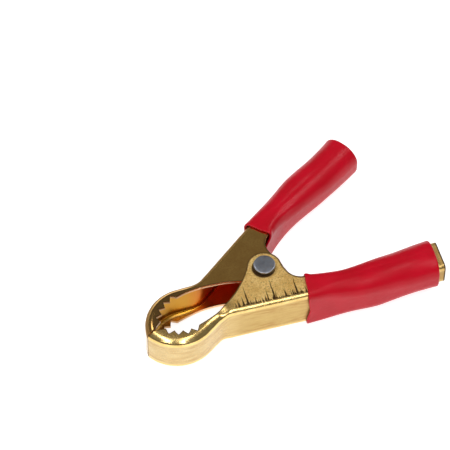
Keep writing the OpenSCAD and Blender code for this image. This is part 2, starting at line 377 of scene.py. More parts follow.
def break_edges(obj):
    """Small rounds on the sheared edges."""
    bevel = obj.modifiers.new("edges", "BEVEL")
    bevel.width = EDGE_BREAK * 0.001
    bevel.segments = 2
    bevel.limit_method = "ANGLE"
    bevel.angle_limit = math.radians(50)
    bevel.use_clamp_overlap = True
    bake_modifiers(obj)
    shade(obj, 60)
    weigh_normals(obj, 60)


def lathe(name, profile, segments, place=None):
    """Turns (radius, z) points round the Z axis. Both ends of the profile are on the axis.

    place, if there is one, moves the turned points to where they belong.
    """
    profile = np.asarray(profile, float)
    body = profile[1:-1]
    a = np.arange(segments) * 2 * math.pi / segments
    rings = np.stack([
        body[:, 0, None] * np.cos(a),
        body[:, 0, None] * np.sin(a),
        np.broadcast_to(body[:, 1, None], (len(body), segments)),
    ], axis=-1)
    points = np.vstack([rings.reshape(-1, 3), [[0, 0, profile[0, 1]], [0, 0, profile[-1, 1]]]])
    faces = ring_faces(len(body), segments)
    first, last = len(points) - 2, len(points) - 1
    final = (len(body) - 1) * segments
    for k in range(segments):
        m = (k + 1) % segments
        faces.append((first, m, k))
        faces.append((last, final + k, final + m))
    if place is not None:
        points = place(points)
    obj = new_object(name, points, faces)
    edit(obj, outward)
    return obj


# ---- the pressed levers -----------------------------------

CHEEK_ROWS = 26
BEND_ROWS = 8
WEB_ROWS = 16
STATION_STEP = 0.45
CLOSEST_STATIONS = 0.035
# How far along the handle its rims take to roll in as lips.
LIP_FADE = 3.0
# Added to a rolled lip's distance from the free edge, to keep the edge's wear off it.
LIP_PAST_EDGE = 5.0
# Only faces beyond this X are cut at the tip.
TIP_REGION = -30.0


def stations(full_end):
    """For each cross-section of a lever: back point, heading, length along, depth of the cheek."""
    points, angles = back_curve()
    along = np.r_[0, np.cumsum(np.linalg.norm(np.diff(points, axis=0), axis=1))]
    edge, corner = cheek_edge(full_end)
    foot, depth = [], []
    for p in edge:
        k = int(np.argmin(((points - p) ** 2).sum(1)))
        foot.append(along[k])
        depth.append(float(np.dot(points[k] - p, left_of(angles[k]))))
    foot = np.maximum.accumulate(np.array(foot) + np.arange(len(foot)) * 1e-6)
    depth = np.array(depth)
    # Beyond the bite the cheek runs on at one depth, to be cut off square at the tip.
    foot = np.r_[0, foot]
    depth = np.r_[depth[0] + 0.1, depth]
    corner = np.r_[False, corner]
    wanted = list(foot[corner])
    for a, b in zip(foot[:-1], foot[1:]):
        count = max(1, int(math.ceil((b - a) / STATION_STEP)))
        wanted += list(a + (b - a) * np.arange(count) / count)
    wanted = np.unique(np.r_[wanted, along[-1]])
    keep = []
    for s in wanted:
        near_corner = np.abs(foot[corner] - s).min() < 1e-9
        if keep and s - keep[-1] < CLOSEST_STATIONS:
            if near_corner:
                keep[-1] = s
            continue
        keep.append(s)
    keep[-1] = along[-1]
    s = np.array(keep)
    back = np.stack([np.interp(s, along, points[:, i]) for i in (0, 1)], axis=-1)
    return back, np.interp(s, along, angles), s, np.interp(s, foot, depth)


def cheek_path(depth, fold, inset, bend):
    """Depth and drop from the top face, from the cheek's free edge to the start of its bend.

    fold is 0 where the cheek stays flat and 1 where its rim is rolled in as a lip.
    """
    turn = math.pi / 2 * fold
    radius = LIP_R - inset
    lip = max(0.0, END_HALF - LIP_SLOT / 2 - LIP_R) * fold + 1e-4
    flat_end = depth - LIP_R * math.sin(turn)
    flat = flat_end - bend
    total = flat + LIP_R * turn + lip
    out = []
    for u in np.linspace(total, 0, CHEEK_ROWS + 1):
        if u <= flat:
            out.append((bend + u, inset))
        elif u <= flat + LIP_R * turn:
            a = (u - flat) / LIP_R
            out.append((flat_end + radius * math.sin(a), LIP_R - radius * math.cos(a)))
        else:
            a, rest = turn, u - flat - LIP_R * turn
            x = flat_end + radius * math.sin(a) + rest * math.cos(a)
            out.append((x, LIP_R - radius * math.cos(a) + rest * math.sin(a)))
    return out


def half_profile(depth, fold, inset, bend):
    """Depth and drop of the upper half's section, from the cheek's free edge to the web."""
    path = cheek_path(depth, fold, inset, bend)
    radius = bend - inset
    for a in np.linspace(90, 0, BEND_ROWS + 1)[1:]:
        a = math.radians(a)
        path.append((bend - radius * math.cos(a), bend - radius * math.sin(a)))
    return np.array(path)


def edge_distance(xy, line):
    """Plan distance from each point to a chain of points."""
    start, run = line[:-1], np.diff(line, axis=0)
    t = ((xy[:, None] - start) * run).sum(-1) / (run**2).sum(-1)
    gap = xy[:, None] - start - np.clip(t, 0, 1)[..., None] * run
    return np.linalg.norm(gap, axis=-1).min(axis=1)


def web_wave(s, z):
    """Slight unevenness of the pressed web, in millimetres."""
    return (
        0.022 * np.sin(0.83 * s + 0.4) * np.cos(0.31 * z + 0.2)
        + 0.014 * np.sin(1.9 * s + 1.3 + 0.4 * z)
        + 0.010 * np.cos(0.9 * z - 0.27 * s)
    )


def lever(name, half, side):
    """One pressed lever. side is +1 for the handle on +Y and -1 for its mirror image.

    Its material reads four lengths from the mesh: along, the length along the back; crease, the
    distance from the bend, above 0 on the cheek and below 0 towards the web; inside, 1 on the
    hollow side; and rim, the distance from the free edge.
    """
    full_end = half == OUTER_HALF
    back, angle, s, depth = stations(full_end)
    inward = -left_of(angle)
    free_edge, _ = cheek_edge(full_end)
    rings, along, crease, inside, rim = [], [], [], [], []
    for i in range(len(s)):
        handle_x = np.dot(back[i] - HANDLE_ROOT, heading(HANDLE_ANGLE))
        fold = float(smooth((handle_x - LIP_START) / LIP_FADE + 1))
        bend = float(ramp(back[i][0], BEND_TAPER, (NOSE_BEND_R, SHANK_BEND_R)))
        faces = []
        for inset in (0.0, SHEET):
            top = half_profile(depth[i], fold, inset, bend)
            web = np.stack([np.full(WEB_ROWS - 1, inset), np.full(WEB_ROWS - 1, bend)], axis=-1)
            t = np.linspace(1, -1, WEB_ROWS + 1)[1:-1]
            d = np.r_[top[:, 0], web[:, 0], top[::-1, 0]]
            drop = np.r_[top[:, 1], web[:, 1], top[::-1, 1]]
            sign = np.r_[np.ones(len(top)), t, -np.ones(len(top))]
            xy = back[i] + d[:, None] * inward[i]
            z = (lever_half(xy[:, 0], half) - drop + flare(xy[:, 0], d)) * sign
            wave = web_wave(s[i], z) * smooth((bend - d) / bend)
            xy = xy - wave[:, None] * inward[i]
            faces.append(np.column_stack([xy, z]))
            below = np.minimum(0, np.abs(z) - (lever_half(xy[:, 0], half) - bend))
            along.append(np.full(len(d), s[i]))
            inside.append(np.full(len(d), float(inset > 0)))
            rim.append(edge_distance(xy, free_edge) + LIP_PAST_EDGE * fold)
            crease.append(np.where(d > bend, d - bend, below - (bend - d)))
        # A ring goes round the outer face and comes back on the inner one, so the inner face's
        # points and lengths are turned round.
        rings.append(np.vstack([faces[0], faces[1][::-1]]))
        crease[-1] = crease[-1][::-1]
        rim[-1] = rim[-1][::-1]
    rings = np.array(rings)
    count, width = rings.shape[:2]
    faces = ring_faces(count, width)
    half_ring = width // 2
    last = (count - 1) * width
    for k in range(half_ring - 1):
        faces.append((last + k, last + k + 1, last + width - 2 - k, last + width - 1 - k))
    points = rings.reshape(-1, 3)
    points[:, 1] *= side
    obj = new_object(name, points, faces, {
        "along": np.concatenate(along),
        "crease": np.concatenate(crease),
        "inside": np.concatenate(inside),
        "rim": np.concatenate(rim),
    })

    tip = NOSE_CENTRE + np.array([
        -math.sqrt(NOSE_RADIUS**2 - (NOSE_CENTRE[1] - TIP_GAP / 2) ** 2),
        TIP_GAP / 2 - NOSE_CENTRE[1],
    ])
    run = BITE_END - tip
    normal = np.array([-run[1], run[0] * side, 0])
    place = to_row([tip[0], tip[1] * side, 0])
    limit = to_row([TIP_REGION, 0, 0])[0]

    def cut_tip(bm):
        near = [f for f in bm.faces if max(v.co.x for v in f.verts) < limit]
        geom = set(near)
        for f in near:
            geom.update(f.edges)
            geom.update(f.verts)
        bmesh.ops.bisect_plane(
            bm, geom=list(geom), dist=1e-7, plane_co=Vector(place),
            plane_no=Vector(normal).normalized(), clear_inner=True,
        )
        bmesh.ops.edgeloop_fill(bm, edges=[e for e in bm.edges if e.is_boundary])
        outward(bm)

    edit(obj, cut_tip)
    break_edges(obj)
    return obj


def plain_cylinder(name, radius, low, high, place=None):
    return lathe(name, [(0, low), (radius, low), (radius, high), (0, high)], 64, place=place)


def drill_ears(obj, radius, half):
    cut_with(obj, plain_cylinder("drill", radius, -half - 2, half + 2))
    weigh_normals(obj)


# ---- rivet ------------------------------------------------

def rivet():
    """A slightly domed head above the ears, and a tail rolled out round its hollow below."""
    top, bottom = OUTER_HALF + HEAD_H, -OUTER_HALF
    crown, edge, foot = 0.10, 0.32, 0.12
    dome = [(r, top - crown * (r / HEAD_R) ** 2) for r in np.linspace(0, HEAD_R - edge, 9)]
    rim = arc([HEAD_R - edge, dome[-1][1] - edge], edge, 84, 0, 7)
    under = arc([HEAD_R - foot, OUTER_HALF + foot], foot, 0, -90, 4)
    tail_r, hollow_r, roll = HEAD_R - 0.2, 1.1, TAIL_H / 2
    tail = arc([tail_r - roll, bottom - roll], roll, 90, -90, 17)
    lip = arc([hollow_r + roll, bottom - roll], roll, -90, -180, 9)
    drill_point = ((hollow_r, 2.2), (hollow_r * 0.92, 2.6), (hollow_r * 0.5, 2.95), (0, 3.15))
    hollow = [(r, bottom + depth) for r, depth in drill_point]
    profile = [*dome, *rim[1:], *under, (RIVET_R, OUTER_HALF), (RIVET_R, bottom)]
    obj = lathe("rivet", [*profile, *tail, *lip[1:], *hollow], 128)
    shade(obj, 45)
    return obj


# ---- spring -----------------------------------------------

def leg_route():
    """The upper leg in plan: off the coil, round its bend and along the shank's hollow side."""
    start = COIL_R * heading(LEG_ANGLE + 90)
    offset = SHEET + WIRE_R + LEG_CLEARANCE
    tail_point = SHANK_POINT - offset * left_of(SHANK_ANGLE)
    corner = meet(start, LEG_ANGLE, tail_point, SHANK_ANGLE)
    turn = LEG_ANGLE - SHANK_ANGLE
    tangent = LEG_BEND_R * math.tan(math.radians(turn / 2))
    centre = corner - tangent * heading(LEG_ANGLE) - LEG_BEND_R * left_of(LEG_ANGLE)
    bend = arc(centre, LEG_BEND_R, LEG_ANGLE + 90, SHANK_ANGLE + 90, 12)
    straight = np.linspace(0.06, 1, 12)[:, None] * (bend[0] - start) + start
    tail = bend[-1] + np.linspace(0, LEG_TAIL, 8)[1:, None] * heading(SHANK_ANGLE)
    return np.vstack([straight[:-1], bend, tail])


def spring():
    """The wire's centre line from one leg's end through the coil to the other's, made round."""
    sweep = 360 * COIL_TURNS + 2 * (90 - LEG_ANGLE)
    rise = COIL_PITCH * sweep / 360
    t = np.linspace(0, 1, int(sweep / 8) + 1)
    a = np.radians(-LEG_ANGLE - 90 - sweep * t)
    coil = np.column_stack([COIL_R * np.cos(a), COIL_R * np.sin(a), rise * (t - 0.5)])
    upper = leg_route()
    lower = upper[::-1] * [1, -1]
    route = np.vstack([
        np.column_stack([lower, np.full(len(lower), -rise / 2)]),
        coil,
        np.column_stack([upper, np.full(len(upper), rise / 2)]),
    ])
    run = np.gradient(route, axis=0)
    run /= np.linalg.norm(run, axis=1)[:, None]
    side = np.cross(run, [0, 0, 1])
    side /= np.linalg.norm(side, axis=1)[:, None]
    up = np.cross(side, run)
    sides = 16
    b = (np.arange(sides) * 2 * math.pi / sides)[:, None]
    round_wire = WIRE_R * (np.cos(b) * up[:, None] + np.sin(b) * side[:, None])
    # Each cropped end has a small chamfer.
    chamfer, shrink = 0.12, 0.82
    rings = np.concatenate([
        (route[0] - run[0] * chamfer + shrink * round_wire[0])[None],
        route[:, None] + round_wire,
        (route[-1] + run[-1] * chamfer + shrink * round_wire[-1])[None],
    ])
    faces = ring_faces(len(rings), sides)
    faces.append(tuple(range(sides)))
    faces.append(tuple((len(rings) - 1) * sides + k for k in range(sides)))
    obj = new_object("spring", rings.reshape(-1, 3), faces)
    edit(obj, outward)
    shade(obj, 50)
    return obj


# ---- grips ------------------------------------------------

GRIP_POINTS = 96


def rounded_box(a, b, r, count):
    """Points round a rounded rectangle with half sizes a and b, evenly spaced from its +a side."""
    p, q = a - r, b - r
    quarter = math.pi / 2 * r
    # Sides and corners by turns: length, heading of the first normal, and a side's first point or
    # a corner's centre.
    legs = [
        (2 * q, 0, (a, -q)), (quarter, 0, (p, q)),
        (2 * p, 90, (p, b)), (quarter, 90, (-p, q)),
        (2 * q, 180, (-a, q)), (quarter, 180, (-p, -q)),
        (2 * p, 270, (-p, -b)), (quarter, 270, (p, -q)),
        (2 * q, 360, (a, -q)),
    ]
    total = 4 * p + 4 * q + 4 * quarter
    out, normal = np.zeros((count, 2)), np.zeros((count, 2))
    for k in range(count):
        u = total * k / count + q
        for j, (length, angle, place) in enumerate(legs):
            if u <= length or j == len(legs) - 1:
                break
            u -= length
        on_corner = j % 2 == 1
        normal[k] = heading(angle + math.degrees(u / r)) if on_corner else heading(angle)
        out[k] = place + (r * normal[k] if on_corner else u * heading(angle + 90))
    return out, normal


def curve_through(x, stations, values):
    """A smooth curve through the values at the stations."""
    stations, values = np.asarray(stations, float), np.asarray(values, float)
    slopes = np.gradient(values, stations)
    i = int(np.clip(np.searchsorted(stations, x) - 1, 0, len(stations) - 2))
    step = stations[i + 1] - stations[i]
    t = float(np.clip((x - stations[i]) / step, 0, 1))
    return (
        (2 * t**3 - 3 * t**2 + 1) * values[i] + (t**3 - 2 * t**2 + t) * step * slopes[i]
        + (3 * t**2 - 2 * t**3) * values[i + 1] + (t**3 - t**2) * step * slopes[i + 1]
    )


# The real sleeves end this much sooner than the CAD's.
GRIP_SHORTER = 0.3
# A grip's section starts as high as the lever, draws in, and widens again to its end.
DRAWN_IN = 0.75
DRAW_IN, WIDEN = (2, 18), (18, 33)
GRIP_END_HALF = 6.0
# Its corners' radius is the sum of these two ramps.
CORNER_RAMPS = (((0, 12), (1.9, 3.8)), ((14, 32), (0, 1.2)))
# Where the metal's open corners turn into rolled lips, and their radius before that.
LIP_TAPER = (22, 27)
SHARP_CORNER = 0.3
# How gently the skin lifts off its own shape to pass over the metal.
SKIN_SOFTNESS = 0.15
# Along the grip, over this length, the lip's slide dies out.
SLIDE_FADE = 2.2

# How far each side of a grip stands out from its straight taper, along its length.
GRIP_STATIONS = (0, 5, 11, 19, 27, 34, 39)
GRIP_SWELL = {
    "outer": {
        "back": (0.1, 0.3, 0.8, 1.25, 0.95, 0.65, 0.6),
        "open": (0.1, -0.35, -0.4, -0.2, 0.2, 0.6, 0.7),
        "top": (0.0, 0.0, -0.1, -0.1, 0.0, 0.1, 0.3),
        "low": (0.0, 0.0, 0.1, 0.2, 0.2, 0.2, 0.2),
    },
    "inner": {
        "back": (0.3, 0.5, 1.0, 1.55, 1.05, 0.55, 0.5),
        "open": (0.0, -0.6, -0.7, -0.4, -0.2, -0.1, -0.1),
        "top": (0.0, 0.1, 0.1, 0.1, 0.0, 0.1, 0.2),
        "low": (0.0, -0.2, -0.3, -0.2, 0.0, 0.0, 0.0),
    },
}
# How far along each grip starts, for angles round it from its back over its top.
LIP_ANGLES = (0, 38, 90, 138, 162, 190, 222, 270, 322, 360)
LIP_SLIDE = {
    "outer": (-0.15, -0.6, -0.2, 0.1, -1.4, -1.6, -0.7, -0.4, -0.9, -0.15),
    "inner": (-0.5, -1.0, -0.2, 0.3, -2.0, -2.3, -0.8, -0.3, -0.6, -0.5),
}


def metal_gap(depth, z, x, half):
    """Distance from the lever's section under the grip to points of the grip's section."""
    metal_depth = handle_depth(x) - hidden_relief(x, half == OUTER_HALF)
    metal_half = float(lever_half(handle_point(x, metal_depth / 2)[0], half))
    open_corner = float(ramp(x, LIP_TAPER, (SHARP_CORNER, LIP_R)))
    corner = np.where(depth < metal_depth / 2, SHANK_BEND_R, open_corner)
    q = np.column_stack([
        np.abs(depth - metal_depth / 2) - (metal_depth / 2 - corner),
        np.abs(z) - (metal_half - corner),
    ])
    outside = np.linalg.norm(np.maximum(q, 0), axis=1)
    return outside + np.minimum(q.max(axis=1), 0) - corner


def grip_section(kind, x, half, phase, length):
    """The grip's outside at x: depth from the handle's back, z, and the outward direction."""
    middle_depth = float(handle_depth(x)) / 2
    lip_half = half + GRIP_WALL + 0.02
    waist_half = lip_half - DRAWN_IN
    if x < WIDEN[0]:
        b = ramp(x, DRAW_IN, (lip_half, waist_half))
    else:
        b = ramp(x, WIDEN, (waist_half, GRIP_END_HALF))
    a = middle_depth + GRIP_WALL + 0.05
    radius = sum(float(ramp(x, *corner_ramp)) for corner_ramp in CORNER_RAMPS)
    ring, normal = rounded_box(a, float(b), min(radius, a - 0.1), GRIP_POINTS)
    sides = {
        "back": np.maximum(normal[:, 0], 0), "open": np.maximum(-normal[:, 0], 0),
        "top": np.maximum(normal[:, 1], 0), "low": np.maximum(-normal[:, 1], 0),
    }
    around = np.arange(GRIP_POINTS) * 2 * math.pi / GRIP_POINTS
    # An uneven bead at the lip, two slow waves in the skin, and a faint bead at the end.
    stand = 0.13 * math.exp(-((x / 0.9) ** 2)) * (0.7 + 0.3 * np.cos(3 * around + phase))
    stand += 0.035 * np.sin(0.45 * x + 2 * around + phase) * min(x / 4, 1)
    stand += 0.012 * np.sin(0.9 * x - 3 * around + 2 * phase) * min(x / 4, 1)
    stand += 0.08 * math.exp(-(((x - length) / 1.6) ** 2))
    for side, weight in sides.items():
        stand = stand + weight * curve_through(x, GRIP_STATIONS, GRIP_SWELL[kind][side])
    ring = ring + normal * stand[:, None]
    # The skin stretches over the sheet wherever it would pass through it.
    short = GRIP_WALL + 0.08 - metal_gap(middle_depth - ring[:, 0], ring[:, 1], x, half)
    ring = ring + normal * (SKIN_SOFTNESS * np.logaddexp(0, short / SKIN_SOFTNESS))[:, None]
    return middle_depth - ring[:, 0], ring[:, 1], normal


def grip(name, kind, half, side, bare_end, phase):
    """One sleeve: its outside, its rounded end, its inside and its rounded lip."""
    length = HANDLE_LENGTH - bare_end
    around = np.arange(GRIP_POINTS) * 360 / GRIP_POINTS
    slide = np.array([curve_through(a, LIP_ANGLES, LIP_SLIDE[kind]) for a in around])
    rim = GRIP_WALL / 2

    def section(x, inset):
        depth, z, normal = grip_section(kind, x, half, phase, length)
        depth = depth + normal[:, 0] * inset
        z = z - normal[:, 1] * inset
        xs = x + slide * math.exp(-x / SLIDE_FADE)
        return np.column_stack([handle_point(xs, depth), z])

    half_turn = np.radians(np.linspace(15, 165, 9))
    rings = [section(x, 0) for x in np.linspace(rim, length - rim, 110)]
    rings += [section(length - rim + rim * math.sin(a), rim - rim * math.cos(a)) for a in half_turn]
    rings += [section(x, GRIP_WALL) for x in np.linspace(length - rim, rim, 50)]
    rings += [section(rim - rim * math.sin(a), rim + rim * math.cos(a)) for a in half_turn]
    rings = np.array(rings)
    points = rings.reshape(-1, 3)
    points[:, 1] *= side
    obj = new_object(name, points, ring_faces(len(rings), GRIP_POINTS, wrap=True))
    edit(obj, outward)
    shade(obj, 80)
    return obj


# ---- materials --------------------------------------------

class Nodes:
    """Short calls for building one material's node tree."""

    def __init__(self, name):
        self.material = bpy.data.materials.new(name)
        self.material.use_nodes = True
        self.tree = self.material.node_tree
        self.shader = self.tree.nodes["Principled BSDF"]

    def set(self, node, key, value):
        socket = node.inputs[key.replace("_", " ")] if isinstance(key, str) else node.inputs[key]
        if isinstance(value, bpy.types.NodeSocket):
            self.tree.links.new(value, socket)
        else:
            socket.default_value = value

    def math(self, operation, a, b=0.0):
        node = self.tree.nodes.new("ShaderNodeMath")
        node.operation = operation
        self.set(node, 0, a)
        self.set(node, 1, b)
        return node.outputs[0]

    def plus(self, a, b):
        return self.math("ADD", a, b)

    def less(self, a, b):
        return self.math("SUBTRACT", a, b)

    def times(self, first, *others):
        for other in others:
            first = self.math("MULTIPLY", first, other)
        return first

    def most(self, first, *others):
        for other in others:
            first = self.math("MAXIMUM", first, other)
        return first

    def attribute(self, name):
        node = self.tree.nodes.new("ShaderNodeAttribute")
        node.attribute_name = name
        return node.outputs["Fac"]

    def position(self, scale=1000):
        """The piece's own coordinates, in millimetres unless another scale is asked for."""
        coordinates = self.tree.nodes.new("ShaderNodeTexCoord")
        mapping = self.tree.nodes.new("ShaderNodeMapping")
        mapping.inputs["Scale"].default_value = (scale, scale, scale)
        self.tree.links.new(coordinates.outputs["Object"], mapping.inputs["Vector"])
        return mapping.outputs[0]

    def split(self, vector):
        node = self.tree.nodes.new("ShaderNodeSeparateXYZ")
        self.tree.links.new(vector, node.inputs[0])
        return node.outputs

    def combine(self, x, y, z):
        node = self.tree.nodes.new("ShaderNodeCombineXYZ")
        for i, value in enumerate((x, y, z)):
            self.set(node, i, value)
        return node.outputs[0]

    def noise(self, vector, scale, detail=2.0, roughness=0.5):
        node = self.tree.nodes.new("ShaderNodeTexNoise")
        self.tree.links.new(vector, node.inputs["Vector"])
        node.inputs["Scale"].default_value = scale
        node.inputs["Detail"].default_value = detail
        node.inputs["Roughness"].default_value = roughness
        return node.outputs["Fac"]

    def spread(self, value, low, high, to_low=0.0, to_high=1.0):
        """Maps the value from low..high to to_low..to_high, and no further."""
        node = self.tree.nodes.new("ShaderNodeMapRange")
        node.clamp = True
        self.set(node, 0, value)
        for i, v in enumerate((low, high, to_low, to_high)):
            self.set(node, 1 + i, v)
        return node.outputs[0]

    def mix(self, factor, a, b):
        node = self.tree.nodes.new("ShaderNodeMix")
        node.data_type = "RGBA"
        self.set(node, 0, factor)
        for socket, value in ((6, a), (7, b)):
            if isinstance(value, bpy.types.NodeSocket):
                self.tree.links.new(value, node.inputs[socket])
            else:
                node.inputs[socket].default_value = (*value, 1)
        return node.outputs[2]

    def bump(self, height, distance, strength=1.0, normal=None):
        node = self.tree.nodes.new("ShaderNodeBump")
        self.set(node, "Strength", strength)
        node.inputs["Distance"].default_value = distance
        self.tree.links.new(height, node.inputs["Height"])
        if normal is not None:
            self.tree.links.new(normal, node.inputs["Normal"])
        return node.outputs[0]

    def finish(self, colour, metallic, rough, normal=None):
        self.set(self.shader, "Base_Color", colour)
        self.set(self.shader, "Metallic", metallic)
        self.set(self.shader, "Roughness", rough)
        if normal is not None:
            self.set(self.shader, "Normal", normal)
        return self.material


# Painted shade for the hollow side; near the rivet, painted shade with a red painted reflection.
HOLLOW_SHADE = (0.60, 0.30, 0.028)
CAVE_SHADE = (0.74, 0.17, 0.010)
# Darker copies of the brass for the web: painted shade.
WEB_NOSE_SHADE = (0.60, 0.47, 0.25)
WEB_SHANK_SHADE = (0.54, 0.39, 0.15)
# Pale brass for a painted highlight along the inner lever's mouth edge.
EDGE_HIGHLIGHT = (0.95, 0.60, 0.32)
# Painted shade for the inner lever's bends, edges and nose, and for the handles' ends.
SHADED_BRASS = (0.25, 0.14, 0.05)
# Colour of the draw marks and pits, and of painted shade and a painted shadow.
MARK_AND_SHADE = (0.05, 0.018, 0.008)
# Painted shade for the side of the rivet's head.
HEAD_WALL_SHADE = (0.03, 0.028, 0.03)
RUST = (0.36, 0.30, 0.26)

# Between these plan positions the nose's finish turns into the shank's.
NOSE_TO_SHANK = (-17.0, -13.0)

# Sets of short draw marks: pitch, tallest height, width at the bend, and seed.
SHORT_MARKS = ((0.7, 2.8, 0.24, 0.0), (1.7, 3.8, 0.30, 40.0), (0.45, 1.7, 0.16, 90.0))
SHORTEST_MARK = 0.2
# Long draw marks: where each starts on the shank's back, as X, and its length.
LONG_MARKS = ((-11.0, 6.5), (-4.0, 7.0), (2.0, 6.0))
LONG_MARK_WIDTH = 0.32
MARK_BLUR = 0.05
# The marks start at this X and run on under the grip for this length.
MARKS_START = -14.6
MARKS_UNDER_GRIP = 14.0

# Painted shadow round the rivet's head: its middle, and how far past the head it's solid and ends.
RIVET_SHADOW_MIDDLE = (-0.38, -0.12)
RIVET_SHADOW_WIDTHS = (0.12, 0.34)


def along_at(x):
    """Length along the lever's back at plan position x."""
    points, _ = back_curve()
    along = np.r_[0, np.cumsum(np.linalg.norm(np.diff(points, axis=0), axis=1))]
    return float(np.interp(x, points[:, 0], along))


def wedge(n, distance, width, crease, height):
    """A mark that is widest at the bend and runs out to a point at the given height."""
    reach = n.less(1.0, n.math("DIVIDE", crease, height))
    return n.spread(n.less(n.times(reach, width), distance), -MARK_BLUR, MARK_BLUR)


def draw_marks(n, along, crease):
    """Dark marks across the shank's bend, where the die dragged on the sheet."""
    wobble = n.noise(n.combine(n.times(along, 0.5), crease, 0.0), 0.9, 2)
    place = n.plus(along, n.times(n.less(wobble, 0.5), 0.5))
    marks = []
    for pitch, tallest, width, seed in SHORT_MARKS:
        cells = n.tree.nodes.new("ShaderNodeTexVoronoi")
        cells.voronoi_dimensions = "1D"
        n.set(cells, "W", n.plus(n.math("DIVIDE", place, pitch), seed))
        n.set(cells, "Scale", 1.0)
        chance = n.tree.nodes.new("ShaderNodeSeparateColor")
        n.tree.links.new(cells.outputs["Color"], chance.inputs[0])
        height = n.plus(n.times(n.math("POWER", chance.outputs[0], 1.7), tallest), SHORTEST_MARK)
        marks.append(wedge(n, n.times(cells.outputs["Distance"], pitch), width, crease, height))
    for x, length in LONG_MARKS:
        distance = n.math("ABSOLUTE", n.less(place, along_at(x)))
        marks.append(wedge(n, distance, LONG_MARK_WIDTH, crease, length))
    start = along_at(MARKS_START)
    end = along_at(HANDLE_ROOT[0]) + MARKS_UNDER_GRIP
    shank = n.times(n.spread(along, start - 0.8, start + 0.8), n.spread(along, end + 1, end))
    return n.times(n.most(*marks), shank, n.spread(crease, -0.5, 0.0))


def rivet_shadow(n):
    """A painted shadow round the foot of the rivet's head, off its middle to one side."""
    place = n.split(n.position())
    x, y = (n.less(place[i], ORIGIN[i] * 1000 + RIVET_SHADOW_MIDDLE[i]) for i in (0, 1))
    distance = n.math("SQRT", n.plus(n.times(x, x), n.times(y, y)))
    return n.spread(distance, HEAD_R + RIVET_SHADOW_WIDTHS[1], HEAD_R + RIVET_SHADOW_WIDTHS[0])


